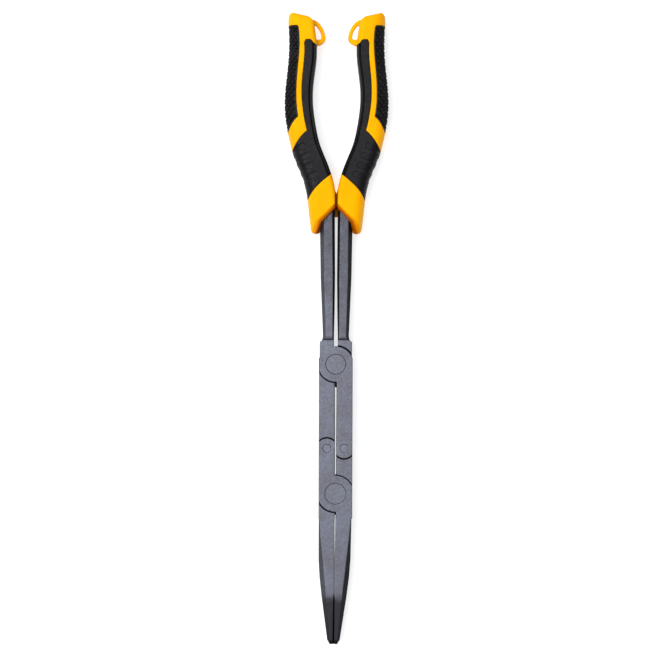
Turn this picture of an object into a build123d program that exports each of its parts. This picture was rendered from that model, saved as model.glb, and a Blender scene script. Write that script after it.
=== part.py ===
from build123d import *
import os

# Long-reach fishing pliers with a doubled lever: two handle levers cross at the main
# pivot, drive two jaw levers through a pair of link pins, and the jaw levers cross at the
# jaw pivot. Millimetres. +Y runs from the jaw tips to the butt ends, +Z through the
# thickness, and the mid plane is Z = MID_Z. Each left-hand piece is the right-hand one
# turned half a turn about the long axis, apart from the lean of the jaws.

MID_Z = 10.0
HEAD_T = 12.0
HEAD_BOTTOM = MID_Z - HEAD_T / 2
LAP_GAP = 0.1
LAP_BACK = MID_Z - LAP_GAP / 2
LAP_FRONT = MID_Z + LAP_GAP / 2
THROUGH = 30.0
LONG_AXIS = Axis((0, 0, MID_Z), (0, 1, 0))

# Pivot centres
MAIN_Y = -22.8
JAW_Y = -104.5
LINK_Y = -75.9
LINK_X = 5.45

# Lap joints: the disc of one lever turns inside the arc shoulders of the other
MAIN_DISC_R = 11.25
JAW_DISC_R = 11.55
EYE_R = 6.35
SHOULDER_GAP = 0.62
SHOULDER_SHIFT = 0.1
JAW_SHOULDER_GAP = 0.45

# Rivets and link pins
MAIN_HEAD_R = 6.25
JAW_HEAD_R = 6.6
RIVET_SHANK_R = 4.5
RIVET_RIM = 0.7
RIVET_CONE = 1.8
RIM_CHAMFER = 0.2
PIN_R = 2.5
PIN_CHAMFER = 0.06
RUNNING_CLEARANCE = 0.05
LOOSE_CLEARANCE = 0.35

# Head, arms and shanks
BOX_HALF = 10.2
HEAD_HALF = 10.65
HEAD_STEP_Y = -19.0
BOX_END_Y = -7.4
BOX_CORNER = (8.7, -7.7)
SHANK_SLOT = 1.2
ARM_GAP_TOP = 0.6
ARM_GAP = 0.4
ARM_BEVEL = 0.4
SHANK_T = 10.0
JAW_GAP = 0.3
BITE_GAP = 0.03
BLOCK_END_Y = -120.0
BLADE_START_Y = BLOCK_END_Y + 0.5

# Both jaws lean a little to the left of the long axis, about the jaw pivot
JAW_LEAN = 0.6
JAW_PIVOT_AXIS = Axis((0, JAW_Y, 0), (0, 0, 1))

# Webs that close the slots just below the two discs, recessed in the faces
WEB_DEPTH = 1.5
ARM_WEB_CENTRE = (-0.45, -35.4)
ARM_WEB_SIZE = (1.7, 3.8)
JAW_WEB_CENTRE = (0.15, -117.1)
JAW_WEB_SIZE = (0.7, 1.8)

# Teeth in the biting faces
TOOTH_PITCH = 1.5
TOOTH_DEPTH = 0.35
TOOTH_COUNT = 22
FIRST_TOOTH_Y = -165.5

# Grips
GRIP_T = 20.0
GRIP_GAP = 0.06
LUG_T = 9.0
GRIP_INNER_R = 3.0
GRIP_OUTER_R = 7.0
SKIN = 1.6
TANG_W = 7.0
TANG_T = 6.0
LOOP_T = 5.6
COLLAR_CUT_Z = 12.0
COLLAR_TAPER = 12.0
BUTT_END_Y = 200.0
BUTT_ROUND = 2.5
BUTT_CORNER = (18.3, 196.7)
BUTT_SLOPE = 12.7
BUTT_PLANE = Plane(
    origin=(*BUTT_CORNER, MID_Z),
    x_dir=(0, 1, 0),
    z_dir=(1, 0, 0),
).rotated((0, 0, BUTT_SLOPE))


def across(y):
    """The plane across the tool at y, with local x along +X and local y along +Z."""
    return Plane(origin=(0, y, MID_Z), x_dir=(1, 0, 0), z_dir=(0, -1, 0))


def bar_section(y, x_in, x_out, half_t, bevel_in, bevel_out, depth_in, depth_out):
    """An upright rectangle with its four long edges bevelled."""
    with BuildSketch(across(y)) as section:
        with BuildLine():
            Polyline(
                (x_in, half_t - depth_in),
                (x_in + bevel_in, half_t),
                (x_out - bevel_out, half_t),
                (x_out, half_t - depth_out),
                (x_out, depth_out - half_t),
                (x_out - bevel_out, -half_t),
                (x_in + bevel_in, -half_t),
                (x_in, depth_in - half_t),
                close=True,
            )
        make_face()
    return section.sketch


def rivet_solid(y, head_r, clearance):
    """A flush rivet with a countersunk head at each face, or its hole with a clearance."""
    shank_r = RIVET_SHANK_R + clearance
    rim_r = head_r + clearance
    rim_z = HEAD_T / 2 - RIVET_RIM
    cone_z = rim_z - RIVET_CONE
    with BuildPart() as rivet:
        with BuildSketch(across(y)):
            with BuildLine():
                Polyline(
                    (0, -HEAD_T / 2),
                    (rim_r, -HEAD_T / 2),
                    (rim_r, -rim_z),
                    (shank_r, -cone_z),
                    (shank_r, cone_z),
                    (rim_r, rim_z),
                    (rim_r, HEAD_T / 2),
                    (0, HEAD_T / 2),
                    close=True,
                )
            make_face()
        revolve(axis=Axis((0, y, 0), (0, 0, 1)))
    return rivet.part


def outer_rims(solid):
    """The outer rims of a flush rivet or pin, at both faces of the head."""
    circles = solid.edges().filter_by(GeomType.CIRCLE).group_by(Axis.Z)
    return circles[0] + circles[-1]


def turned_over(right_part):
    """The left-hand copy of a part: half a turn about the long axis."""
    with BuildPart() as copy:
        add(right_part.rotate(LONG_AXIS, 180))
    return copy


# ---------------------------------------------------------------- rivets and link pins
def flush_rivet(y, head_r):
    """A finished rivet, chamfered at both rims."""
    with BuildPart() as rivet:
        add(rivet_solid(y, head_r, 0))
        chamfer(outer_rims(rivet.part), RIM_CHAMFER)
    return rivet


def link_pin(x):
    """A plain pin, flush with both faces of the head."""
    with BuildPart() as pin:
        with BuildSketch(Plane.XY.offset(HEAD_BOTTOM)):
            with Locations((x, LINK_Y)):
                Circle(PIN_R)
        extrude(amount=HEAD_T)
        chamfer(outer_rims(pin.part), PIN_CHAMFER)
    return pin


main_pivot_rivet = flush_rivet(MAIN_Y, MAIN_HEAD_R)
jaw_pivot_rivet = flush_rivet(JAW_Y, JAW_HEAD_R)
left_link_pin = link_pin(-LINK_X)
right_link_pin = link_pin(LINK_X)


def slot_bevel(start, end):
    """What bevels an arm's two long edges beside the slot, from start to end."""
    with BuildPart() as bevel:
        with BuildSketch(Plane.XY.offset(HEAD_BOTTOM + HEAD_T - ARM_BEVEL)):
            with BuildLine():
                Polyline(start, (1, start[1]), (1, end[1]), end, close=True)
            make_face()
        extrude(amount=2 * ARM_BEVEL, taper=-45)
        mirror(about=Plane.XY.offset(MID_Z))
    return bevel.part


# ------------------------------------------------------------------ handle lever forging
# The bar from the head to the collar of the grip, with a hollow ramp down from the head
with BuildPart() as shank:
    loft(
        [
            bar_section(-9.0, SHANK_SLOT, 9.2, 5.95, 0.3, 0.4, 0.3, 0.5),
            bar_section(-7.3, SHANK_SLOT, 8.7, 5.7, 0.5, 1.0, 0.6, 1.3),
            bar_section(-6.4, SHANK_SLOT, 8.4, 5.25, 0.8, 1.5, 0.9, 1.9),
            bar_section(-5.0, SHANK_SLOT, 8.2, SHANK_T / 2, 1.0, 1.8, 1.1, 2.4),
            bar_section(8, 0.9, 8.75, SHANK_T / 2, 1.25, 2.0, 1.5, 2.7),
            bar_section(32, 0.62, 9.75, SHANK_T / 2, 1.5, 2.3, 1.8, 3.0),
            bar_section(80, 0.95, 10.6, SHANK_T / 2, 1.8, 2.9, 2.1, 3.4),
        ],
        ruled=True,
    )

# The tang: the flat tail of the bar that the grip is moulded around
with BuildPart() as tang:
    with BuildSketch(Plane.XY.offset(MID_Z - TANG_T / 2)):
        with BuildLine():
            Spline(
                (5.7, 74),
                (8.6, 84),
                (14.2, 100),
                (20.2, 116),
                (23.4, 134),
                (23.4, 152),
                (21.8, 168),
                (21.5, 184),
            )
        trace(line_width=TANG_W)
    extrude(amount=TANG_T)

with BuildPart() as handle_forging:
    with BuildSketch(Plane.XY.offset(HEAD_BOTTOM)):
        # Right half of the box above the pivot
        with BuildLine():
            Line((SHANK_SLOT, MAIN_Y), (BOX_HALF, MAIN_Y))
            Line((BOX_HALF, MAIN_Y), (BOX_HALF, BOX_END_Y - 1.3))
            Line((BOX_HALF, BOX_END_Y - 1.3), BOX_CORNER)
            ThreePointArc(BOX_CORNER, (5, BOX_END_Y), (SHANK_SLOT, BOX_END_Y + 0.1))
            Line((SHANK_SLOT, BOX_END_Y + 0.1), (SHANK_SLOT, MAIN_Y))
        make_face()
        # Left arm below the pivot, down to the link eye
        with BuildLine():
            Polyline(
                (-HEAD_HALF, LINK_Y),
                (-ARM_GAP, LINK_Y),
                (-ARM_GAP_TOP, MAIN_Y - MAIN_DISC_R),
                (-ARM_GAP_TOP, MAIN_Y),
                (-HEAD_HALF, MAIN_Y),
                close=True,
            )
        make_face()
        with Locations((0, MAIN_Y)):
            Circle(MAIN_DISC_R)
        with Locations((-LINK_X, LINK_Y)):
            Circle(EYE_R)
        with BuildLine():
            Polyline(
                (-HEAD_HALF, LINK_Y - EYE_R),
                (-ARM_GAP, LINK_Y - EYE_R),
                (-ARM_GAP, LINK_Y),
                (-ARM_GAP_TOP, MAIN_Y - MAIN_DISC_R),
                (BOX_HALF, MAIN_Y - MAIN_DISC_R),
                (BOX_HALF, BOX_END_Y + 0.1),
                (-BOX_HALF, BOX_END_Y + 0.1),
                (-BOX_HALF, HEAD_STEP_Y + 0.5),
                (-HEAD_HALF, HEAD_STEP_Y),
                close=True,
            )
        make_face(mode=Mode.INTERSECT)
    extrude(amount=HEAD_T)
    # Front half cleared for the crossing lever and for the link eye
    with BuildSketch(Plane.XY.offset(LAP_BACK)):
        with Locations((SHOULDER_SHIFT, MAIN_Y + SHOULDER_SHIFT)):
            Circle(MAIN_DISC_R + SHOULDER_GAP)
        with Locations((-LINK_X, LINK_Y)):
            Circle(EYE_R + SHOULDER_GAP)
    extrude(amount=THROUGH, mode=Mode.SUBTRACT)
    # Web in the back half that closes the slot between the arms, just below the disc
    with BuildSketch(Plane.XY.offset(HEAD_BOTTOM + WEB_DEPTH)):
        with Locations(ARM_WEB_CENTRE):
            Rectangle(*ARM_WEB_SIZE)
    extrude(amount=LAP_BACK - HEAD_BOTTOM - WEB_DEPTH)
    web_end_y = ARM_WEB_CENTRE[1] - ARM_WEB_SIZE[1] / 2
    bevel_start = (-ARM_GAP_TOP, web_end_y - ARM_BEVEL)
    add(slot_bevel(bevel_start, (-ARM_GAP, LINK_Y)), mode=Mode.SUBTRACT)
    add(shank.part)
    add(tang.part)

# --------------------------------------------------------------------- jaw lever forging
with BuildPart() as jaw_blade:
    loft(
        [
            bar_section(BLADE_START_Y, JAW_GAP, 10.35, 6.0, 0.15, 0.4, 0.15, 0.4),
            bar_section(-132, JAW_GAP, 10.25, 6.0, 0.15, 1.3, 0.15, 1.6),
            bar_section(-146, JAW_GAP, 10.1, 6.0, 0.15, 2.7, 0.15, 3.2),
            bar_section(-157, JAW_GAP, 9.4, 6.0, 0.15, 3.1, 0.15, 3.7),
            bar_section(-163, BITE_GAP, 8.7, 6.0, 0.3, 3.1, 0.3, 3.7),
            bar_section(-170, BITE_GAP, 7.85, 5.8, 0.5, 2.8, 0.5, 3.6),
            bar_section(-197.2, BITE_GAP, 4.0, 3.0, 0.6, 1.3, 0.8, 1.7),
            bar_section(-200, BITE_GAP + 0.45, 2.5, 1.3, 0.35, 0.7, 0.4, 0.6),
        ],
        ruled=True,
    )
    with BuildSketch(Plane.XY):
        tooth_ys = [FIRST_TOOTH_Y - i * TOOTH_PITCH for i in range(TOOTH_COUNT)]
        with Locations([(BITE_GAP, y) for y in tooth_ys]):
            Polygon(
                (-TOOTH_DEPTH, -TOOTH_PITCH / 2),
                (TOOTH_DEPTH, 0),
                (-TOOTH_DEPTH, TOOTH_PITCH / 2),
                align=None,
            )
    extrude(amount=THROUGH, mode=Mode.SUBTRACT)

with BuildPart() as jaw_root:
    with BuildSketch(Plane.XY.offset(HEAD_BOTTOM)):
        # Left arm above the pivot, from the link eye
        with BuildLine():
            Polyline(
                (-HEAD_HALF, LINK_Y),
                (-HEAD_HALF, JAW_Y),
                (-ARM_GAP, JAW_Y),
                (-ARM_GAP, LINK_Y),
                close=True,
            )
        make_face()
        # Right root of the jaw below the pivot
        with BuildLine():
            Polyline(
                (JAW_GAP, JAW_Y),
                (HEAD_HALF, JAW_Y),
                (HEAD_HALF, BLOCK_END_Y),
                (JAW_GAP, BLOCK_END_Y),
                close=True,
            )
        make_face()
        with Locations((0, JAW_Y)):
            Circle(JAW_DISC_R)
        with Locations((-LINK_X, LINK_Y)):
            Circle(EYE_R)
        with BuildLine():
            Polyline(
                (-HEAD_HALF, LINK_Y + EYE_R),
                (-ARM_GAP, LINK_Y + EYE_R),
                (-ARM_GAP, JAW_Y + JAW_DISC_R),
                (HEAD_HALF, JAW_Y + JAW_DISC_R),
                (HEAD_HALF, BLOCK_END_Y),
                (-HEAD_HALF, BLOCK_END_Y),
                close=True,
            )
        make_face(mode=Mode.INTERSECT)
    extrude(amount=HEAD_T)
    # Back half cleared for the link eye and for the crossing lever
    with BuildSketch(Plane.XY.offset(LAP_FRONT)):
        with Locations((SHOULDER_SHIFT, JAW_Y - SHOULDER_SHIFT)):
            Circle(JAW_DISC_R + JAW_SHOULDER_GAP)
        with Locations((-LINK_X, LINK_Y)):
            Circle(EYE_R + SHOULDER_GAP)
    extrude(amount=-THROUGH, mode=Mode.SUBTRACT)
    # Web in the front half that closes the slot between the jaws, just below the disc
    with BuildSketch(Plane.XY.offset(LAP_FRONT)):
        with Locations(JAW_WEB_CENTRE):
            Rectangle(*JAW_WEB_SIZE)
    extrude(amount=HEAD_T / 2 - LAP_GAP / 2 - WEB_DEPTH)
    arm_end_y = JAW_Y + JAW_DISC_R + ARM_BEVEL
    add(slot_bevel((-ARM_GAP, LINK_Y), (-ARM_GAP, arm_end_y)), mode=Mode.SUBTRACT)


def jaw_forging(lean):
    """The root of a jaw lever with its blade turned about the jaw pivot."""
    with BuildPart() as forging:
        add(jaw_root.part)
        add(jaw_blade.part.rotate(JAW_PIVOT_AXIS, lean))
    return forging



# ------------------------------------------------------------------------ finished levers
def bored(forging, rivet_hole, pin_x, pin_clearance):
    """A forging with its rivet hole and its link pin hole."""
    with BuildPart() as lever:
        add(forging)
        add(rivet_hole, mode=Mode.SUBTRACT)
        with Locations((pin_x, LINK_Y, MID_Z)):
            Cylinder(PIN_R + pin_clearance, THROUGH, mode=Mode.SUBTRACT)
    return lever


# Each rivet is fast in the right lever and turns in the left one
right_handle_lever = bored(
    handle_forging.part,
    rivet_solid(MAIN_Y, MAIN_HEAD_R, 0),
    -LINK_X,
    0,
)
left_handle_lever = bored(
    turned_over(handle_forging.part).part,
    rivet_solid(MAIN_Y, MAIN_HEAD_R, RUNNING_CLEARANCE),
    LINK_X,
    0,
)
right_jaw_lever = bored(
    jaw_forging(-JAW_LEAN).part,
    rivet_solid(JAW_Y, JAW_HEAD_R, 0),
    -LINK_X,
    RUNNING_CLEARANCE,
)
left_jaw_lever = bored(
    turned_over(jaw_forging(JAW_LEAN).part).part,
    rivet_solid(JAW_Y, JAW_HEAD_R, RUNNING_CLEARANCE),
    LINK_X,
    LOOSE_CLEARANCE,
)

# ---------------------------------------------------------------------------- right grip
# Inner edge, outer edge and half thickness of the grip at stations along its length
GRIP_STATIONS = [
    (56, GRIP_GAP, 16.6, 8.3),
    (70, GRIP_GAP, 17.1, 8.8),
    (82, GRIP_GAP, 18.4, 9.3),
    (92, 1.7, 20.6, 9.7),
    (104, 5.5, 25.4, 10.0),
    (116, 10.3, 29.2, 10.0),
    (131, 13.5, 32.3, 10.0),
    (146, 14.9, 32.9, 10.0),
    (162, 13.6, 31.4, 10.0),
    (178, 12.5, 30.3, 10.0),
    (BUTT_END_Y, 12.9, 30.6, 10.0),
]


def grip_section(station, inset):
    """The grip across its length: tight inner edges and a round outer side."""
    y, x_in, x_out, half_t = station
    width = x_out - x_in - 2 * inset
    with BuildSketch(across(y)) as section:
        with Locations(((x_in + x_out) / 2, 0)):
            Rectangle(width, 2 * (half_t - inset))
        fillet(section.vertices().group_by(Axis.X)[0], GRIP_INNER_R - inset)
        fillet(section.vertices().group_by(Axis.X)[-1], GRIP_OUTER_R - inset)
    return section.sketch


with BuildPart() as grip_envelope:
    loft([grip_section(station, 0) for station in GRIP_STATIONS])
    # Plan shape: sloped butt end, guard lobe at the collar and the stop lug beside the bar
    with BuildSketch(Plane.XY.offset(-1)):
        with BuildLine():
            Line((GRIP_GAP, 70), (1.6, 70))
            Line((1.6, 70), (1.6, 65))
            Line((1.6, 65), (9.4, 65))
            Line((9.4, 65), (9.4, 61.6))
            ThreePointArc((9.4, 61.6), (13.4, 59.6), (16.3, 62.4))
            Line((16.3, 62.4), (40, 90))
            Line((40, 90), (40, 190))
            Line((40, 190), (30.5, 194.8))
            ThreePointArc((30.5, 194.8), (29.6, 197.9), (27.0, 199.0))
            Line((27.0, 199.0), (27.0, 200))
            Line((27.0, 200), (21, 200))
            Line((21, 200), (BUTT_CORNER[0], BUTT_CORNER[1] + 0.2))
            Line((BUTT_CORNER[0], BUTT_CORNER[1] + 0.2), (15.8, 194.8))
            Line((15.8, 194.8), (12.0, 190.0))
            Line((12.0, 190.0), (GRIP_GAP, 170))
            Line((GRIP_GAP, 170), (GRIP_GAP, 70))
        make_face()
    extrude(amount=THROUGH, mode=Mode.INTERSECT)
    # Butt end: a sloped flat face with rounded rims on both sides
    with BuildSketch(BUTT_PLANE):
        with Locations((-THROUGH * 3, 0)):
            RectangleRounded(THROUGH * 6, GRIP_T, BUTT_ROUND)
    extrude(amount=THROUGH * 2, both=True, mode=Mode.INTERSECT)

with BuildPart() as grip_inside:
    loft([grip_section(station, SKIN) for station in GRIP_STATIONS])

# Plan regions of the two soft inserts
with BuildPart() as pad_region:
    with BuildSketch(Plane.XY.offset(-1)):
        with BuildLine():
            Line((24.2, 189.9), (25.0, 190.7))
            Line((25.0, 190.7), (40, 190.7))
            Line((40, 190.7), (40, 105))
            Spline((40, 105), (30.85, 122.3), (28.3, 128.2), (24.1, 133.2))
            Spline((24.1, 133.2), (25.4, 145.5), (24.8, 160.7), (23.5, 176.5), (24.2, 189.9))
        make_face()
    extrude(amount=THROUGH)

with BuildPart() as sleeve_region:
    with BuildSketch(Plane.XY.offset(-1)):
        with BuildLine():
            Spline((20.5, 179.7), (20.4, 172), (21.4, 160.7), (22.0, 147), (20.7, 134), (18.6, 124.4))
            Spline((18.6, 124.4), (23.9, 118.7), (27.75, 111.9), (36, 92))
            Line((36, 92), (36, 60))
            Line((36, 60), (26, 60))
            Spline((26, 60), (18.3, 80.1), (15.3, 85.6), (4.3, 96.3), (-6, 106))
            Line((-6, 106), (-6, 168))
            Line((-6, 168), (13.9, 179.1))
            Line((13.9, 179.1), (16.5, 181.8))
            Line((16.5, 181.8), (19.5, 181.8))
            Line((19.5, 181.8), (20.5, 179.7))
        make_face()
    extrude(amount=THROUGH)

# The V that lays the bar open at the collar, cut into both faces
with BuildPart() as collar_cut:
    with BuildSketch(Plane.XY.offset(COLLAR_CUT_Z)):
        with BuildLine():
            Polyline(
                (-3.0, 78.3),
                (8.8, 66.0),
                (11.4, 59.5),
                (11.4, 50),
                (-3.0, 50),
                close=True,
            )
        make_face()
    extrude(amount=10, taper=-COLLAR_TAPER)
    mirror(about=Plane.XY.offset(MID_Z))

with BuildPart() as right_textured_pad:
    add((grip_envelope.part & pad_region.part) - grip_inside.part)

with BuildPart() as right_soft_sleeve:
    add((grip_envelope.part & sleeve_region.part) - grip_inside.part)

with BuildPart() as right_grip_core:
    # Lanyard loop at the butt
    with BuildSketch(Plane.XY.offset(MID_Z - LOOP_T / 2)):
        with BuildLine():
            Spline(
                (16, 195.2),
                (12.6, 194.0),
                (9.6, 190.8),
                (7.6, 186.2),
                (7.4, 181.9),
                (10.0, 179.4),
                (16, 178.8),
            )
            Line((16, 178.8), (16, 195.2))
        make_face()
        with BuildLine():
            Spline((14.4, 192.6), (11.6, 189.4), (10.0, 185.9), (9.9, 182.6))
            Line((9.9, 182.6), (14.4, 182.0))
            Line((14.4, 182.0), (14.4, 192.6))
        make_face(mode=Mode.SUBTRACT)
    extrude(amount=LOOP_T)
    # Stop lug that meets the other handle's when the tool is closed
    with BuildSketch(Plane.XY.offset(MID_Z - LUG_T / 2)):
        with BuildLine():
            Polyline(
                (GRIP_GAP, 78),
                (GRIP_GAP, 85.5),
                (0.6, 86.3),
                (3.5, 86.3),
                (3.5, 78),
                close=True,
            )
        make_face()
    extrude(amount=LUG_T)
    add(grip_envelope.part)
    add(right_textured_pad.part, mode=Mode.SUBTRACT)
    add(right_soft_sleeve.part, mode=Mode.SUBTRACT)
    add(collar_cut.part, mode=Mode.SUBTRACT)
    add(shank.part, mode=Mode.SUBTRACT)
    add(tang.part, mode=Mode.SUBTRACT)

# ----------------------------------------------------------------------------- left grip
left_grip_core = turned_over(right_grip_core.part)
left_textured_pad = turned_over(right_textured_pad.part)
left_soft_sleeve = turned_over(right_soft_sleeve.part)

# -------------------------------------------------------------------------------- output
NODES = {
    "main_pivot_rivet": main_pivot_rivet,
    "jaw_pivot_rivet": jaw_pivot_rivet,
    "left_link_pin": left_link_pin,
    "right_link_pin": right_link_pin,
    "right_handle_lever": right_handle_lever,
    "left_handle_lever": left_handle_lever,
    "right_jaw_lever": right_jaw_lever,
    "left_jaw_lever": left_jaw_lever,
    "right_grip_core": right_grip_core,
    "left_grip_core": left_grip_core,
    "right_textured_pad": right_textured_pad,
    "left_textured_pad": left_textured_pad,
    "right_soft_sleeve": right_soft_sleeve,
    "left_soft_sleeve": left_soft_sleeve,
}
os.makedirs("parts", exist_ok=True)
for name, node in NODES.items():
    node.part.label = name
    export_step(node.part, f"parts/{name}.step")
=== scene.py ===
import math

import bmesh
import bpy
import numpy as np
from mathutils import Matrix, Vector
from mathutils.bvhtree import BVHTree


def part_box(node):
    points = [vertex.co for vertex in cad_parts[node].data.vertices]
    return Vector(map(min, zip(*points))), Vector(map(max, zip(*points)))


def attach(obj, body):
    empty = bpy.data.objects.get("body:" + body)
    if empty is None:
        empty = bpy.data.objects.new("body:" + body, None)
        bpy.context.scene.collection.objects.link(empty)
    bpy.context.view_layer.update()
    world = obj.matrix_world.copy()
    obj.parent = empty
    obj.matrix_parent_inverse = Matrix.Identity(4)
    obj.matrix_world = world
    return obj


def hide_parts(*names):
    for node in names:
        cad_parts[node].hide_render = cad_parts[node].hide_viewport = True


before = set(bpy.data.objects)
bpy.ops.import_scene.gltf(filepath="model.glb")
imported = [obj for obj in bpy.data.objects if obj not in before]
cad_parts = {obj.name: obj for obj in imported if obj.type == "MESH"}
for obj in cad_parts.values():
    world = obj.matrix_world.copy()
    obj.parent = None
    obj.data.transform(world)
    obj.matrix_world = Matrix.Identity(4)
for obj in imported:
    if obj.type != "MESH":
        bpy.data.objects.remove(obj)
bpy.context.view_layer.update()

# Long-reach fishing pliers, lying flat, with the grips towards +Y and the tips towards -Y.
# Blender's lengths are in metres: MM turns the millimetres below into them.
MM = 0.001
MID_Z = 10 * MM
SCENE = bpy.context.scene


# ----------------------------------------------------------------------------- mesh helpers
WELD_DISTANCE = 0.002 * MM


def points(mesh):
    co = np.zeros(len(mesh.vertices) * 3, np.float32)
    mesh.vertices.foreach_get("co", co)
    return co.reshape(-1, 3).astype(float)


def set_points(mesh, co):
    mesh.vertices.foreach_set("co", co.astype(np.float32).ravel())
    mesh.update()


def point_normals(mesh):
    normals = np.zeros(len(mesh.vertices) * 3, np.float32)
    mesh.vertex_normals.foreach_get("vector", normals)
    return normals.reshape(-1, 3).astype(float)


def edge_ends(mesh):
    ends = np.zeros(len(mesh.edges) * 2, np.int32)
    mesh.edges.foreach_get("vertices", ends)
    return ends.reshape(-1, 2)


def neighbour_mean(values, ends):
    """The mean of each point's neighbours, column by column."""
    count = len(values)
    valence = np.bincount(ends.ravel(), minlength=count)
    total = np.empty_like(values)
    for column in range(values.shape[1]):
        one = values[:, column]
        total[:, column] = np.bincount(ends[:, 0], one[ends[:, 1]], minlength=count)
        total[:, column] += np.bincount(ends[:, 1], one[ends[:, 0]], minlength=count)
    return total / np.maximum(valence, 1)[:, None]


def smoothed(values, ends, rounds):
    """Values moved half way to the mean of their neighbours, round after round."""
    for _ in range(rounds):
        values = 0.5 * values + 0.5 * neighbour_mean(values, ends)
    return values


def store(mesh, name, values):
    """Keeps one number per point for the materials to read."""
    layer = mesh.attributes.new(name, "FLOAT", "POINT")
    layer.data.foreach_set("value", values.astype(np.float32))


def smoothstep(low, high, value):
    t = np.clip((value - low) / (high - low), 0, 1)
    return t * t * (3 - 2 * t)


def window(rise, fall, value):
    """0, then 1 from the end of the rise to the start of the fall, then 0 again."""
    return smoothstep(*rise, value) * (1 - smoothstep(*fall, value))


def off_mid(co):
    """Distance from the tool's mid plane, up or down."""
    return np.abs(co[:, 2] - MID_Z)


def new_object(name, mesh):
    mesh.name = name
    piece = bpy.data.objects.new(name, mesh)
    SCENE.collection.objects.link(piece)
    return piece


def moulded(node, name, voxel, rounds):
    """A new piece on an even mesh of the CAD node, with its edges slightly rounded."""
    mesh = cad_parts[node].data.copy()
    mesh.materials.clear()
    grid = bmesh.new()
    grid.from_mesh(mesh)
    bmesh.ops.remove_doubles(grid, verts=grid.verts, dist=WELD_DISTANCE)
    grid.to_mesh(mesh)
    grid.free()
    piece = new_object(name, mesh)
    remesh = piece.modifiers.new("even", "REMESH")
    remesh.mode = "VOXEL"
    remesh.voxel_size = voxel
    remesh.use_smooth_shade = True
    depsgraph = bpy.context.evaluated_depsgraph_get()
    even = bpy.data.meshes.new_from_object(piece.evaluated_get(depsgraph))
    piece.modifiers.clear()
    piece.data = even
    even.name = name
    set_points(even, smoothed(points(even), edge_ends(even), rounds))
    return piece


def turned_over(piece, name):
    """The left-hand copy: half a turn about the long axis."""
    mesh = piece.data.copy()
    mesh.transform(Matrix(((-1, 0, 0, 0), (0, 1, 0, 0), (0, 0, -1, 2 * MID_Z), (0, 0, 0, 1))))
    return new_object(name, mesh)


def surface_tree(node, chosen=lambda face: True):
    """The chosen faces of a CAD node, for measuring distances to them."""
    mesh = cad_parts[node].data
    faces = [tuple(face.vertices) for face in mesh.polygons if chosen(face)]
    return BVHTree.FromPolygons([v.co for v in mesh.vertices], faces)


def away_from(co, tree):
    """Distance from each point to the surface held in tree."""
    return np.array([tree.find_nearest(Vector(p))[3] for p in co])


def carve(piece, depth):
    """Moves each point inward by depth and keeps the depth as an attribute."""
    mesh = piece.data
    co = points(mesh)
    set_points(mesh, co - point_normals(mesh) * depth[:, None])
    store(mesh, "carved", depth / depth.max())


# ------------------------------------------------------------------ shape of the right grip
GRIP_NODES = ("right_grip_core", "right_textured_pad", "right_soft_sleeve")
GRIP_TREES = [surface_tree(node) for node in GRIP_NODES]
CORE_TREE = GRIP_TREES[0]
GRIP_HALF = 10 * MM
OUTER_RADIUS = 7 * MM
SIDE_HALF = 3 * MM
LOOP_START = 177 * MM
# Every 2 mm along the grip
EDGE_YS = np.linspace(62 * MM, 194 * MM, 67)
RAY_START = 100 * MM
RAY_Z = MID_Z + 0.7 * MM


def side_line(start_x, direction):
    """X of the grip's side near the mid plane, for each of EDGE_YS."""
    line = []
    for y in EDGE_YS:
        start = Vector((start_x, y, RAY_Z))
        hits = [tree.ray_cast(start, Vector((direction, 0, 0)))[0] for tree in GRIP_TREES]
        xs = [hit.x for hit in hits if hit is not None]
        line.append(max(xs) if direction < 0 else min(xs))
    return np.array(line)


OUTER_LINE = side_line(RAY_START, -1)
INNER_LINE = side_line(-RAY_START, 1)


def outer_x(y):
    return np.interp(y, EDGE_YS, OUTER_LINE)


def inner_x(y):
    """X of the grip's inner side, carried on straight past the lanyard loop."""
    below_loop = EDGE_YS < LOOP_START
    return np.interp(y, EDGE_YS[below_loop], INNER_LINE[below_loop])


def around(co):
    """Distance around the outer side from where it starts to turn down, on either face."""
    across = co[:, 0] - (outer_x(co[:, 1]) - OUTER_RADIUS)
    up = off_mid(co) - SIDE_HALF
    angle = np.arctan2(np.maximum(across, 0), np.maximum(up, 0))
    corner = OUTER_RADIUS * np.clip(angle, 0, math.pi / 2)
    side = OUTER_RADIUS * math.pi / 2 - np.minimum(up, 0)
    return np.where(across < 0, across, np.where(up < 0, side, corner))


# ------------------------------------------------------------------------- the textured pad
PAD_VOXEL = 0.26 * MM
PAD_FREE = (0.6 * MM, 1.5 * MM)
PAD_PITCH = 4.32 * MM
PAD_DEPTH = 1.1 * MM
RIB_DEPTH = 0.6 * MM
CROSS_DEPTH = 0.95 * MM
# Half widths of the grooves, as parts of the pitch
PAD_WIDTH = 0.27
RIB_WIDTH = 0.17
CROSS_WIDTH = 0.2
# How the grooves run across the pad, with lengths in millimetres around its side
SWEEP_START = -2
SWEEP_END = 9
SWEEP_LEAN = 0.75
SWEEP_CURVE = 0.045
CROSS_LEAN = 1.25
CROSS_MIDDLE = 3.2
CROSS_RISE = (0.6, 2.2)
CROSS_FALL = (5.4, 7.4)


def groove(phase, width):
    """1 in the bottom of a groove at each whole number of phase, and 0 away from it."""
    off = np.abs(phase - np.round(phase))
    return 1 - smoothstep(0, width, off)


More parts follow.
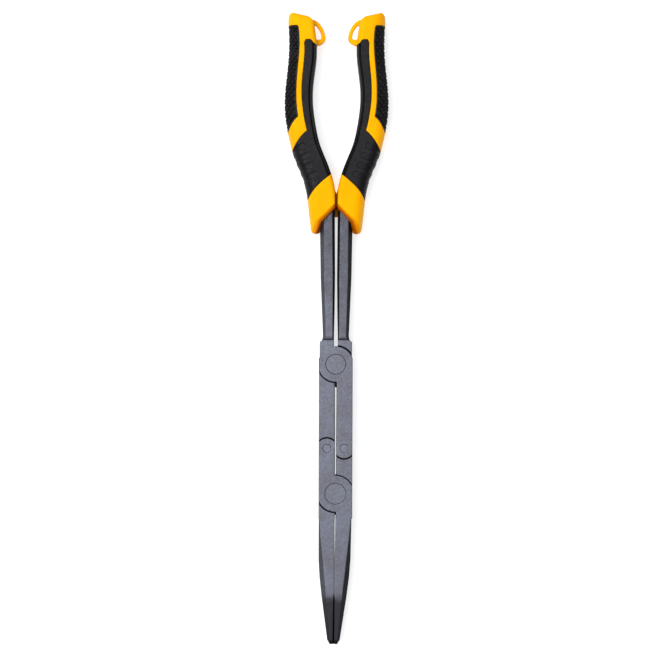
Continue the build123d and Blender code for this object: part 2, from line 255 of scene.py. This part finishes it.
def pad_depth(co):
    """Steep ridges that lean outward from the stripe, crossed by short opposite cuts."""
    u = around(co) / MM
    y = co[:, 1]
    turned = np.clip(u, SWEEP_START, SWEEP_END)
    sweep = (SWEEP_LEAN * turned + SWEEP_CURVE * turned**2) * MM
    main = groove((y + sweep) / PAD_PITCH, PAD_WIDTH)
    ribs = groove((y + sweep) / PAD_PITCH + 0.5, RIB_WIDTH)
    cross_sweep = CROSS_LEAN * (turned - CROSS_MIDDLE) * MM
    cross = groove((y - cross_sweep) / PAD_PITCH + 0.5, CROSS_WIDTH)
    cross_cut = CROSS_DEPTH * cross * window(CROSS_RISE, CROSS_FALL, u)
    return np.maximum.reduce([PAD_DEPTH * main, RIB_DEPTH * ribs, cross_cut])


def textured_pad():
    """The ridged pad, left plain where it meets the core."""
    piece = moulded("right_textured_pad", "right_pad", PAD_VOXEL, rounds=2)
    co = points(piece.data)
    carve(piece, pad_depth(co) * smoothstep(*PAD_FREE, away_from(co, CORE_TREE)))
    return piece


# -------------------------------------------------------------------------- the soft sleeve
SLEEVE_VOXEL = 0.28 * MM
SLEEVE_FREE = (0.5 * MM, 1.3 * MM)
BAND_TOP = 130 * MM
BAND_FADE = 15 * MM
# Scoops, rim and crease, in millimetres
SCOOP_CENTRES = ((20.5, 114.5), (17.8, 108.6), (15.3, 102.6), (12.8, 96.8))
SCOOP_OUTWARD = (0.94, -0.34)
SCOOP_HALF = 2.15
SCOOP_TURN = (3.0, 9.0)
SCOOP_FLOOR = 0.2
SCOOP_SLOPE = 0.05
SCOOP_SLOPE_END = 4
SCOOP_SHALLOWER = 0.3
SCOOP_STEP = 0.38
SCOOP_STEP_END = (0.5, 2.6)
RIM_WIDTH = 2.0
RIM_GROOVE = 0.9
RIM_SUNK = 0.15
RIM_EDGE = (RIM_WIDTH - 0.3, RIM_WIDTH)
RIM_HIGHLIGHT = (RIM_WIDTH - 1.0, RIM_WIDTH - 0.5)
RIM_DARK = (RIM_WIDTH, RIM_WIDTH + 0.6)
CREASE_SIDE = (0.3, 0.85)
SIDE_REFLECTION_WIDTH = (0.2, 0.7)
# Where the scoop's floor ends and its step lies, as parts of SCOOP_HALF
FLOOR_EDGE = (0.62, 1.0)
STEP_PLACE = 0.88
STEP_WIDTH = 0.16
# Distances from the mid plane
RIM_FACE = (4 * MM, 6 * MM)
SIDE_REFLECTION_HEIGHT = (0.2 * MM, 0.5 * MM)
EDGE_SHADE = 0.9


def scoop_depth(co):
    """Finger scoops: a fine C-shaped step on the faces, opening into notches around the side."""
    depth = np.zeros(len(co))
    turn = smoothstep(*SCOOP_TURN, around(co) / MM)
    out_x, out_y = SCOOP_OUTWARD
    for centre_x, centre_y in SCOOP_CENTRES:
        x = co[:, 0] / MM - centre_x
        y = co[:, 1] / MM - centre_y
        along = x * out_x + y * out_y
        across = x * out_y - y * out_x
        off = np.hypot(np.minimum(along, 0), across) / SCOOP_HALF
        step = SCOOP_STEP * (1 - smoothstep(0.0, STEP_WIDTH, np.abs(off - STEP_PLACE)))
        step = step * (1 - smoothstep(*SCOOP_STEP_END, along))
        floor = SCOOP_FLOOR + SCOOP_SLOPE * np.clip(along, 0, SCOOP_SLOPE_END)
        floor = floor * (1 - SCOOP_SHALLOWER * turn) * (1 - smoothstep(*FLOOR_EDGE, off))
        depth = np.maximum(depth, np.maximum(floor, step))
    return depth * MM


def soft_sleeve():
    """The inner strip: finger scoops, and a crease that sets off a rim above the band; painted
    highlight on the rim, painted reflection on the side edge, painted shade in the crease and
    along the edge below the band.
    """
    piece = moulded("right_soft_sleeve", "right_sleeve", SLEEVE_VOXEL, rounds=2)
    mesh = piece.data
    co = points(mesh)
    free = smoothstep(*SLEEVE_FREE, away_from(co, CORE_TREE))
    rim = (co[:, 0] - inner_x(co[:, 1])) / MM
    crease = (1 - smoothstep(*CREASE_SIDE, np.abs(rim - RIM_WIDTH))) * RIM_GROOVE * MM
    crease = crease + RIM_SUNK * MM * (1 - smoothstep(*RIM_EDGE, rim))
    carve(piece, np.maximum(scoop_depth(co), crease) * free)
    above_band = smoothstep(BAND_TOP - BAND_FADE, BAND_TOP, co[:, 1])
    # Painted highlight on the rim between the crease and the inner edge
    rim_highlight = (1 - smoothstep(*RIM_HIGHLIGHT, rim)) * above_band
    store(mesh, "rim", rim_highlight * smoothstep(*RIM_FACE, off_mid(co)))
    # Painted shade in the crease, and along the inner edge below the band
    dark_edge = (1 - smoothstep(*RIM_DARK, rim)) * (1 - above_band)
    store(mesh, "crease", np.maximum(crease / crease.max(), EDGE_SHADE * dark_edge))
    # Painted reflection along the inner side's edge at the mid plane
    parting_line = 1 - smoothstep(*SIDE_REFLECTION_HEIGHT, off_mid(co))
    store(mesh, "side_reflection", parting_line * (1 - smoothstep(*SIDE_REFLECTION_WIDTH, rim)))
    return piece


# ---------------------------------------------------------------------------- the grip core
CORE_VOXEL = 0.34 * MM
PARTING_HALF = 0.22 * MM
PARTING_DEPTH = 0.12 * MM
COLLAR_END = 79 * MM
COLLAR_MARGIN = 3 * MM
OPENING_X = (1 * MM, 12 * MM)
OPENING_OFF_MID = 2 * MM
OPENING_TURN = 0.1
UPRIGHT_TURN = 0.5
FAR_AWAY = 1.0
LIP_WIDTH = 2.3 * MM
LIP_FLARE = 2.2 * MM
LIP_DEPTH = 1.1 * MM
LIP_CURVE = 1.6
LIP_FACING = (0.3, 0.8)
FLARE_TOP = 73 * MM
FLARE_FOOT = 63 * MM
LUG_TOP = 76.5 * MM
LUG_END = 87 * MM
MEETING_GAP = 0.12 * MM
SEAM_REACH = 1.3 * MM
# Depths below the nearer face
SEAM_RISE = (0.8 * MM, 1.8 * MM)
SEAM_FALL = (2.8 * MM, 4.0 * MM)
LUG_SIDE = (1.0 * MM, 2.5 * MM)


def in_opening(face):
    """Whether a face is an upright wall of the collar's V-shaped opening."""
    middle, normal = face.center, face.normal
    inward = normal.x < OPENING_TURN and normal.y < OPENING_TURN
    upright = abs(normal.z) < UPRIGHT_TURN
    beside = OPENING_X[0] < middle.x < OPENING_X[1] and middle.y < COLLAR_END
    return inward and upright and beside and abs(middle.z - MID_Z) > OPENING_OFF_MID


def lip_strength(co):
    """1 at the wall of the collar's opening and 0 where its lip ends, wider at the foot."""
    near_opening = co[:, 1] < COLLAR_END + COLLAR_MARGIN
    distance = np.full(len(co), FAR_AWAY)
    walls = surface_tree("right_grip_core", in_opening)
    distance[near_opening] = away_from(co[near_opening], walls)
    flare = 1 - smoothstep(FLARE_FOOT, FLARE_TOP, co[:, 1])
    return np.clip(1 - distance / (LIP_WIDTH + LIP_FLARE * flare), 0, 1)


def collar_seam_shade(co):
    """Painted shade where the two collars meet: a band near the faces, and the lug's sides."""
    x, y = co[:, 0], co[:, 1]
    seam_shade = (1 - smoothstep(0.5 * SEAM_REACH, SEAM_REACH, x)) * (y < LUG_END)
    depth = GRIP_HALF - off_mid(co)
    band = window(SEAM_RISE, SEAM_FALL, depth)
    return seam_shade * np.where(y < LUG_TOP, smoothstep(*LUG_SIDE, depth), band)


def close_collar(mesh):
    """Brings the collar's meeting face to the middle of the tool."""
    co = points(mesh)
    co[(co[:, 0] < MEETING_GAP) & (co[:, 1] < LUG_END), 0] = 0
    set_points(mesh, co)


def grip_core():
    """The yellow moulding: a parting line, and bevelled lips around the collar's opening."""
    piece = moulded("right_grip_core", "right_core", CORE_VOXEL, rounds=3)
    mesh = piece.data
    co = points(mesh)
    parting = 1 - smoothstep(0.2 * PARTING_HALF, PARTING_HALF, off_mid(co))
    lip = lip_strength(co)
    facing = smoothstep(*LIP_FACING, np.abs(point_normals(mesh)[:, 2]))
    carve(piece, np.maximum(PARTING_DEPTH * parting, LIP_DEPTH * lip**LIP_CURVE * facing))
    # Painted shade on the lips of the collar's opening
    store(mesh, "lip", lip)
    # Painted shade where the two collars meet
    store(mesh, "seam_shade", collar_seam_shade(co))
    close_collar(mesh)
    return piece


# ------------------------------------------------------------------------- the steel levers
LEVERS = ("right_handle_lever", "left_handle_lever", "right_jaw_lever", "left_jaw_lever")
LEVER_VOXEL = 0.24 * MM
FACE_HEIGHT = 6 * MM
# Places along the tool, from the grips to the tips
BARS_TOP = 60 * MM
SLOT_OPENING = (2 * MM, 12 * MM)
RAMP_FOOT = -3.8 * MM
RAMP_TOP = -7.6 * MM
HEAD_END = -8 * MM
BLOCK_END = -120 * MM
GAP_WIDE = -124 * MM
SHADE_END = -136 * MM
GAP_SHUT = -150 * MM
TEETH_START = -163 * MM
GROOVE_START = -166 * MM
GROOVE_FULL = -171 * MM
# Distances across the tool
OUTER_BEVELS = 3 * MM
SLOT_EDGE = 1.25 * MM
GAP_SIDE = (0.45 * MM, 1.0 * MM)
BITE_SIDE = (0.35 * MM, 0.65 * MM)
BITE_REACH = 0.55 * MM
# Heights
BITE_COVER = 1.2 * MM
BITE_FACE = (4.2 * MM, 5.2 * MM)
SUNK_DEPTH = (0.5 * MM, 1.2 * MM)
# How the jaws lean, about the jaw pivot
JAW_PIVOT_Y = sum(corner[1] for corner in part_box("jaw_pivot_rivet")) / 2
JAW_LEAN = math.tan(math.radians(0.6))
# How far a fully worn edge stands out from its neighbours, and the part of it that starts wear
WEAR_REACH = 0.08 * MM
WEAR_START = 0.1
# The upright part of the normal, from a side to a face
TILT = (0.62, 0.93)
# How much painted shade each kind of face gets, and how much lighter some parts of it are painted
TILTED_SHADE = 0.97
LEFT_LIT_LIGHTER = 0.39
SLOT_SIDE_LIGHTER = 0.6
PLAIN_BITE_LIGHTER = 0.85
SLOT_SHADE = 0.9
SUNK_SHADE = 0.94
RAMP_SHADE = 0.8
BAR_SHADE = 0.10
BAR_TOP_SHADE = 0.28
RIGHT_BAR_SHADE = 0.12
GAP_SHADE = 0.22
GROOVE_SHADE = 0.75


def past(start, end, y):
    """0 above start and 1 below end, going towards the tips."""
    return smoothstep(-start, -end, -y)


def bite_offset(co):
    """Distance across from the line where the leaning jaws meet."""
    return co[:, 0] - JAW_LEAN * (co[:, 1] - JAW_PIVOT_Y)


def half_height(co):
    """Half the lever's height where each point is, for every millimetre of its length."""
    stations = np.round(co[:, 1] / MM).astype(int)
    stations -= stations.min()
    tops = np.zeros(stations.max() + 1)
    np.maximum.at(tops, stations, off_mid(co))
    return tops[stations]


def close_bite(mesh):
    """Narrows the gap above the teeth, and brings the biting faces together inside."""
    co = points(mesh)
    offset = bite_offset(co)
    near = 1 - smoothstep(*GAP_SIDE, np.abs(offset))
    narrowed = past(GAP_WIDE, GAP_SHUT, co[:, 1])
    narrowed *= 1 - past(GROOVE_START, GROOVE_FULL, co[:, 1])
    co[:, 0] -= offset * near * narrowed
    inside = off_mid(co) < half_height(co) - BITE_COVER
    offset = bite_offset(co)
    meeting = inside & (np.abs(offset) < BITE_REACH) & (co[:, 1] < TEETH_START)
    co[meeting, 0] -= offset[meeting]
    set_points(mesh, co)


def edge_wear(mesh):
    """How strongly each point lies on a raised edge."""
    ends = edge_ends(mesh)
    co = points(mesh)
    bulge = np.sum((co - neighbour_mean(co, ends)) * point_normals(mesh), axis=1)
    bulge = smoothed(bulge[:, None], ends, rounds=3)[:, 0]
    return smoothstep(WEAR_START, 1.0, bulge / WEAR_REACH)


def slot_side(x, y):
    """1 on the bars' sides along the slot between them."""
    return (y > HEAD_END) * (1 - smoothstep(SLOT_EDGE, 1.4 * SLOT_EDGE, np.abs(x)))


def bite_side(co):
    """1 on the biting faces and at their edges."""
    return 1 - smoothstep(*BITE_SIDE, np.abs(bite_offset(co)))


def tilted_shade(co, normals):
    """Painted shade on bevels and sides, painted lighter on the left where light falls, at the
    foot of the slot, and along the plain bite.
    """
    x, y = co[:, 0], co[:, 1]
    tilted = 1 - smoothstep(*TILT, np.abs(normals[:, 2]))
    # Left-facing bevels on the left get less painted shade: painted light from the left
    left_lit = smoothstep(OUTER_BEVELS, 2 * OUTER_BEVELS, -x) * (normals[:, 0] < 0)
    tilted = tilted * (TILTED_SHADE - LEFT_LIT_LIGHTER * left_lit)
    low_side = slot_side(x, y) * (1 - smoothstep(*SLOT_OPENING, y))
    tilted = tilted * (1 - SLOT_SIDE_LIGHTER * low_side)
    plain_bite = bite_side(co) * smoothstep(*BITE_FACE, off_mid(co))
    plain_bite *= past(BLOCK_END, GAP_WIDE, y) * (1 - past(GROOVE_START, GROOVE_FULL, y))
    return tilted * (1 - PLAIN_BITE_LIGHTER * plain_bite)


def bar_shade(x, y):
    """Painted shade on the bars: darker towards the grips, along their slot, and at the foot of
    the right one.
    """
    along = smoothstep(0, BARS_TOP, y)
    faces = BAR_SHADE + BAR_TOP_SHADE * along + RIGHT_BAR_SHADE * (x > 0) * (1 - along)
    sides = SLOT_SHADE * slot_side(x, y) * smoothstep(*SLOT_OPENING, y)
    return np.maximum(faces, sides) * (y > HEAD_END)


def sunk_shade(co):
    """Painted shade on what lies deeper than the faces of the head, fading out along the blades.
    """
    y = co[:, 1]
    sunk = smoothstep(*SUNK_DEPTH, FACE_HEIGHT - off_mid(co))
    return SUNK_SHADE * sunk * (y < HEAD_END) * (1 - past(BLOCK_END, SHADE_END, y))


def bite_shade(co):
    """Painted shade on the line between the jaws, and darker in the groove between the tips."""
    y = co[:, 1]
    shade = GAP_SHADE * past(GAP_WIDE, GAP_SHUT, y)
    return bite_side(co) * (shade + GROOVE_SHADE * past(GROOVE_START, GROOVE_FULL, y))


def ramp_shade(y):
    """Painted shade on the ramp from the bars up to the head."""
    return RAMP_SHADE * (1 - smoothstep(RAMP_TOP, RAMP_FOOT, y)) * (y > RAMP_TOP)


def forged_lever(node):
    """One forging, with its worn edges and its painted shade stored for the steel."""
    piece = moulded(node, node.replace("_lever", "_forging"), LEVER_VOXEL, rounds=2)
    mesh = piece.data
    co = points(mesh)
    x, y = co[:, 0], co[:, 1]
    store(mesh, "wear", edge_wear(mesh))
    shades = [tilted_shade(co, point_normals(mesh)), sunk_shade(co), bite_shade(co)]
    # The painted shade of bevels, sides, hollows, the ramp, the bars and the bite
    store(mesh, "painted_shade", np.maximum.reduce([*shades, ramp_shade(y), bar_shade(x, y)]))
    if "jaw" in node:
        close_bite(mesh)
    return piece


# -------------------------------------------------------------------------------- materials
class Nodes:
    """A small wrapper that makes and links the nodes of one material or world."""

    def __init__(self, owner, shader="Principled BSDF"):
        owner.use_nodes = True
        self.owner = owner
        self.tree = owner.node_tree
        self.shader = self.tree.nodes[shader]

    def new(self, kind, **settings):
        node = self.tree.nodes.new(kind)
        for key, value in settings.items():
            setattr(node, key, value)
        return node

    def put(self, node, socket, value):
        """Links an output socket, or sets a plain value, to a node's input."""
        if isinstance(value, bpy.types.NodeSocket):
            self.tree.links.new(value, node.inputs[socket])
        else:
            node.inputs[socket].default_value = value

    def axis(self, place, letter):
        """One coordinate, X, Y or Z, of a place or a direction."""
        separate = self.new("ShaderNodeSeparateXYZ")
        self.put(separate, "Vector", self.new("ShaderNodeTexCoord").outputs[place])
        return separate.outputs[letter]

    def attribute(self, name):
        return self.new("ShaderNodeAttribute", attribute_name=name).outputs["Fac"]

    def noise(self, per_metre, detail, rough=0.5):
        node = self.new("ShaderNodeTexNoise")
        self.put(node, "Vector", self.new("ShaderNodeTexCoord").outputs["Object"])
        self.put(node, "Scale", per_metre)
        self.put(node, "Detail", detail)
        self.put(node, "Roughness", rough)
        return node.outputs["Fac"]

    def remap(self, value, low, high, to_low=0.0, to_high=1.0):
        """to_low below low and to_high above high, with a soft change between."""
        node = self.new("ShaderNodeMapRange", interpolation_type="SMOOTHSTEP")
        sockets = ("Value", "From Min", "From Max", "To Min", "To Max")
        for socket, number in zip(sockets, (value, low, high, to_low, to_high)):
            self.put(node, socket, number)
        return node.outputs["Result"]

    def math(self, operation, first, second):
        node = self.new("ShaderNodeMath", operation=operation)
        self.put(node, 0, first)
        self.put(node, 1, second)
        return node.outputs["Value"]

    def times(self, first, second):
        return self.math("MULTIPLY", first, second)

    def stain(self, color, factor, shade):
        """The color, turned into the shade by the factor."""
        node = self.new("ShaderNodeMix", data_type="RGBA")
        self.put(node, "Factor", factor)
        for socket, value in (("A", color), ("B", shade)):
            slot = [i for i in node.inputs if i.name == socket and i.type == "RGBA"][0]
            if isinstance(value, bpy.types.NodeSocket):
                self.tree.links.new(value, slot)
            else:
                slot.default_value = (*value, 1)
        return [o for o in node.outputs if o.type == "RGBA"][0]

    def bump(self, height, distance, strength):
        node = self.new("ShaderNodeBump")
        self.put(node, "Height", height)
        self.put(node, "Distance", distance)
        self.put(node, "Strength", strength)
        self.put(self.shader, "Normal", node.outputs["Normal"])

    def finish(self, color, roughness, metallic, specular):
        self.put(self.shader, "Base Color", color)
        self.put(self.shader, "Roughness", roughness)
        self.put(self.shader, "Metallic", metallic)
        self.put(self.shader, "Specular IOR Level", specular)
        return self.owner


GLINT_COLOR = (0.23, 0.235, 0.265)
PIT_COLOR = (0.05, 0.045, 0.056)
# Painted shade on the sloping tips
TIP_SHADE_COLOR = (0.018, 0.015, 0.018)
TIP_END_COLOR = (0.010, 0.003, 0.0015)
# Painted shade for bevels, sides, hollows, the bars and the bite
PAINTED_SHADE_COLOR = (0.006, 0.0055, 0.007)
WORN_COLOR = (0.30, 0.31, 0.34)
GLINT_STRENGTH = 0.5
PIT_STRENGTH = 0.45
TIP_SHADE_STRENGTH = 0.93
TIP_END_STRENGTH = 0.95
WORN_STRENGTH = 0.45
LEAST_WEAR = 0.25
TIP_SHADE_FULL = -170.5 * MM
TIP_SHADE_START = -163 * MM
TIP_SHADE_WANDER = 7 * MM
TIP_END_FULL = -197.6 * MM
TIP_END_START = -197 * MM
FINE_GRAIN_HEIGHT = 0.6
STEEL_ROUGHNESS = (0.44, 0.62)
# On the faces and on the flanks with painted shade
STEEL_SPECULAR = (0.35, 0.12)


def steel_material(name, light, dark):
    """Blasted forged steel: fine grain, faint mottling, painted shade on the flanks and sloping
    tips, darker tip ends, worn edges.
    """
    n = Nodes(bpy.data.materials.new(name))
    mottling = n.noise(per_metre=70, detail=3)
    color = n.stain(light, n.remap(mottling, 0.3, 0.7), dark)
    grain = n.noise(per_metre=1400, detail=3, rough=0.7)
    color = n.stain(color, n.remap(grain, 0.48, 0.72, 0.0, GLINT_STRENGTH), GLINT_COLOR)
    pits = n.noise(per_metre=900, detail=2, rough=0.7)
    color = n.stain(color, n.remap(pits, 0.5, 0.75, 0.0, PIT_STRENGTH), PIT_COLOR)
    # Painted shade on the sloping tips, starting along a ragged line
    along = n.axis("Object", "Y")
    wander = n.times(n.noise(per_metre=180, detail=3, rough=0.6), TIP_SHADE_WANDER)
    ragged = n.math("ADD", along, wander)
    tip_shade = n.remap(ragged, TIP_SHADE_FULL, TIP_SHADE_START, TIP_SHADE_STRENGTH, 0.0)
    color = n.stain(color, tip_shade, TIP_SHADE_COLOR)
    tip_end = n.remap(along, TIP_END_FULL, TIP_END_START, TIP_END_STRENGTH, 0.0)
    color = n.stain(color, tip_end, TIP_END_COLOR)
    # Painted shade from the levers' stored mask
    painted_shade = n.attribute("painted_shade")
    color = n.stain(color, painted_shade, PAINTED_SHADE_COLOR)
    patches = n.remap(n.noise(per_metre=300, detail=3), 0.35, 0.6, LEAST_WEAR, 1)
    worn = n.times(n.attribute("wear"), patches)
    color = n.stain(color, n.times(worn, WORN_STRENGTH), WORN_COLOR)
    sheen = n.noise(per_metre=700, detail=3)
    fine_grain = n.times(n.noise(per_metre=2600, detail=2), FINE_GRAIN_HEIGHT)
    n.bump(n.math("ADD", fine_grain, grain), distance=0.05 * MM, strength=0.6)
    return n.finish(
        color,
        roughness=n.remap(sheen, 0.3, 0.7, *STEEL_ROUGHNESS),
        metallic=0.55,
        specular=n.remap(painted_shade, 0.3, 1.0, *STEEL_SPECULAR),
    )


CARVED_SHADE_COLOR = (0.002, 0.002, 0.002)
RIM_HIGHLIGHT_COLOR = (0.034, 0.030, 0.030)
SIDE_REFLECTION_COLOR = (0.055, 0.043, 0.036)
CREASE_SHADE_COLOR = (0.001, 0.001, 0.001)
CARVED_SHADE_STRENGTH = 0.85
RIM_HIGHLIGHT_STRENGTH = 0.9
SIDE_REFLECTION_STRENGTH = 0.8


def rubber_material(name, base, dusty, roughness):
    """Black moulded rubber: dusty patches, painted shade in carved parts and the crease, painted
    highlight and reflection at the sleeve's rim and side, fine matt grain.
    """
    n = Nodes(bpy.data.materials.new(name))
    dust = n.noise(per_metre=160, detail=3)
    color = n.stain(base, n.remap(dust, 0.35, 0.7), dusty)
    # Painted shade in the carved grooves and scoops
    carved = n.remap(n.attribute("carved"), 0.15, 0.8, 0.0, CARVED_SHADE_STRENGTH)
    color = n.stain(color, carved, CARVED_SHADE_COLOR)
    # Painted highlight on the sleeve's rim
    color = n.stain(color, n.times(n.attribute("rim"), RIM_HIGHLIGHT_STRENGTH), RIM_HIGHLIGHT_COLOR)
    # Painted reflection along the sleeve's inner side edge
    color = n.stain(color, n.times(n.attribute("side_reflection"), SIDE_REFLECTION_STRENGTH), SIDE_REFLECTION_COLOR)
    # Painted shade in the crease and along the edge below the band
    color = n.stain(color, n.attribute("crease"), CREASE_SHADE_COLOR)
    sheen = n.noise(per_metre=500, detail=2)
    n.bump(n.noise(per_metre=3800, detail=2, rough=0.6), distance=0.04 * MM, strength=0.7)
    return n.finish(
        color,
        roughness=n.remap(sheen, 0.3, 0.7, roughness - 0.06, roughness + 0.08),
        metallic=0.0,
        specular=0.12,
    )


YELLOW_BASE = (0.95, 0.42, 0.0)
YELLOW_CLOUD = (0.90, 0.38, 0.0)
YELLOW_SPECK = (0.75, 0.30, 0.0)
LIP_SHADE_COLOR = (0.72, 0.24, 0.0)
LIP_WALL_SHADE_COLOR = (0.40, 0.075, 0.0)
SEAM_SHADE_COLOR = (0.13, 0.022, 0.0)
YELLOW_SHINE = (1.0, 0.7, 0.08, 1)
SPECK_STRENGTH = 0.25
LIP_SHADE_STRENGTH = 0.9
SEAM_SHADE_STRENGTH = 0.95
YELLOW_ROUGHNESS = (0.36, 0.48)


def yellow_material():
    """Yellow hard plastic: even satin skin, with painted shade on the lips and the seam at the
    collar.
    """
    n = Nodes(bpy.data.materials.new("yellow_plastic"))
    clouds = n.noise(per_metre=55, detail=2)
    color = n.stain(YELLOW_BASE, n.remap(clouds, 0.3, 0.7), YELLOW_CLOUD)
    specks = n.noise(per_metre=900, detail=3)
    color = n.stain(color, n.remap(specks, 0.62, 0.8, 0.0, SPECK_STRENGTH), YELLOW_SPECK)
    # Painted shade on the lip, darker on its wall
    lip = n.attribute("lip")
    color = n.stain(color, n.remap(lip, 0.05, 0.35, 0.0, LIP_SHADE_STRENGTH), LIP_SHADE_COLOR)
    color = n.stain(color, n.remap(lip, 0.4, 0.95, 0.0, LIP_SHADE_STRENGTH), LIP_WALL_SHADE_COLOR)
    # Painted shade where the two collars meet
    color = n.stain(color, n.times(n.attribute("seam_shade"), SEAM_SHADE_STRENGTH), SEAM_SHADE_COLOR)
    sheen = n.noise(per_metre=350, detail=3)
    n.bump(n.noise(per_metre=2400, detail=2, rough=0.6), distance=0.03 * MM, strength=0.5)
    n.put(n.shader, "Specular Tint", YELLOW_SHINE)
    return n.finish(
        color,
        roughness=n.remap(sheen, 0.3, 0.7, *YELLOW_ROUGHNESS),
        metallic=0.0,
        specular=0.25,
    )


STEEL = steel_material(
    "steel",
    light=(0.134, 0.142, 0.180),
    dark=(0.116, 0.115, 0.142),
)
RIVET = steel_material(
    "rivet_steel",
    light=(0.141, 0.149, 0.187),
    dark=(0.122, 0.121, 0.149),
)
YELLOW = yellow_material()
PAD = rubber_material(
    "pad_rubber",
    base=(0.008, 0.0075, 0.0085),
    dusty=(0.017, 0.0155, 0.0175),
    roughness=0.36,
)
SOFT = rubber_material(
    "soft_rubber",
    base=(0.006, 0.005, 0.007),
    dusty=(0.008, 0.007, 0.009),
    roughness=0.42,
)

# -------------------------------------------------- pieces, bodies, and what they stand for
right_pad = textured_pad()
right_sleeve = soft_sleeve()
right_core = grip_core()
levers = {node: forged_lever(node) for node in LEVERS}
left_pad = turned_over(right_pad, "left_pad")
left_sleeve = turned_over(right_sleeve, "left_sleeve")
left_core = turned_over(right_core, "left_core")

PIECES = [
    (right_pad, "right_handle", "right_textured_pad", "pad_rubber", PAD),
    (right_sleeve, "right_handle", "right_soft_sleeve", "soft_rubber", SOFT),
    (right_core, "right_handle", "right_grip_core", "yellow_plastic", YELLOW),
    (left_pad, "left_handle", "left_textured_pad", "pad_rubber", PAD),
    (left_sleeve, "left_handle", "left_soft_sleeve", "soft_rubber", SOFT),
    (left_core, "left_handle", "left_grip_core", "yellow_plastic", YELLOW),
    (levers["right_handle_lever"], "right_handle", "right_handle_lever", "steel", STEEL),
    (levers["left_handle_lever"], "left_handle", "left_handle_lever", "steel", STEEL),
    (levers["right_jaw_lever"], "right_jaw", "right_jaw_lever", "steel", STEEL),
    (levers["left_jaw_lever"], "left_jaw", "left_jaw_lever", "steel", STEEL),
]
for piece, body, node, slot, material in PIECES:
    piece.data.materials.append(material)
    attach(piece, body)
    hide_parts(node)

for node in ("main_pivot_rivet", "jaw_pivot_rivet", "left_link_pin", "right_link_pin"):
    for material_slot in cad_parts[node].material_slots:
        material_slot.material = RIVET

# --------------------------------------------------------------------- floor, light, camera
FLOOR_HALF = 4.0
FLOOR_Z = -0.3 * MM
FLOOR_COLOR = (0.58, 0.58, 0.585, 1)
FLOOR_GLOW = 0.64
GLOW_COLOR = (1.0, 1.0, 1.0, 1)
SKY_COLOR = (0.93, 0.96, 1.0, 1)
SKY_LEFT = 0.30
SKY_RIGHT = 0.03
SKY_OVERHEAD = 1.0
CAMERA_PLACE = (-2.15 * MM, -2.78 * MM, 1.512)
CAMERA_ROLL = math.radians(0.18)


def white_floor():
    """A pale matt floor that glows a little, so that the background stays white."""
    corners = [(-1, -1), (1, -1), (1, 1), (-1, 1)]
    mesh = bpy.data.meshes.new("floor")
    places = [(FLOOR_HALF * x, FLOOR_HALF * y, FLOOR_Z) for x, y in corners]
    mesh.from_pydata(places, [], [(0, 1, 2, 3)])
    n = Nodes(bpy.data.materials.new("floor"))
    n.put(n.shader, "Emission Color", GLOW_COLOR)
    n.put(n.shader, "Emission Strength", FLOOR_GLOW)
    mesh.materials.append(n.finish(FLOOR_COLOR, roughness=0.85, metallic=0.0, specular=0.1))
    return new_object("floor", mesh)


def soft_light(name, place, size, watts, color):
    """A square soft box aimed at the middle of the tool."""
    data = bpy.data.lights.new(name, "AREA")
    data.shape = "SQUARE"
    data.size = size
    data.energy = watts
    data.color = color
    lamp = bpy.data.objects.new(name, data)
    lamp.location = place
    lamp.rotation_euler = (-Vector(place)).to_track_quat("-Z", "Y").to_euler()
    SCENE.collection.objects.link(lamp)


def studio_world():
    """Bright overhead, dim at the horizon, and darkest to the right."""
    n = Nodes(bpy.data.worlds.new("studio"), "Background")
    horizon = n.remap(n.axis("Generated", "X"), -0.7, 0.5, SKY_LEFT, SKY_RIGHT)
    strength = n.remap(n.axis("Generated", "Z"), 0.35, 0.95, horizon, SKY_OVERHEAD)
    n.put(n.shader, "Color", SKY_COLOR)
    n.put(n.shader, "Strength", strength)
    return n.owner


floor = white_floor()
soft_light("key", place=(-0.6, 0.3, 1.5), size=1.3, watts=24, color=(1.0, 0.99, 0.98))
SCENE.world = studio_world()

camera_data = bpy.data.cameras.new("camera")
camera_data.sensor_width = 36
camera_data.lens = 128.4
camera_data.clip_start = 0.05
camera = bpy.data.objects.new("camera", camera_data)
camera.location = CAMERA_PLACE
camera.rotation_euler = (0, 0, CAMERA_ROLL)
SCENE.collection.objects.link(camera)
SCENE.camera = camera
SCENE.view_settings.view_transform = "Standard"
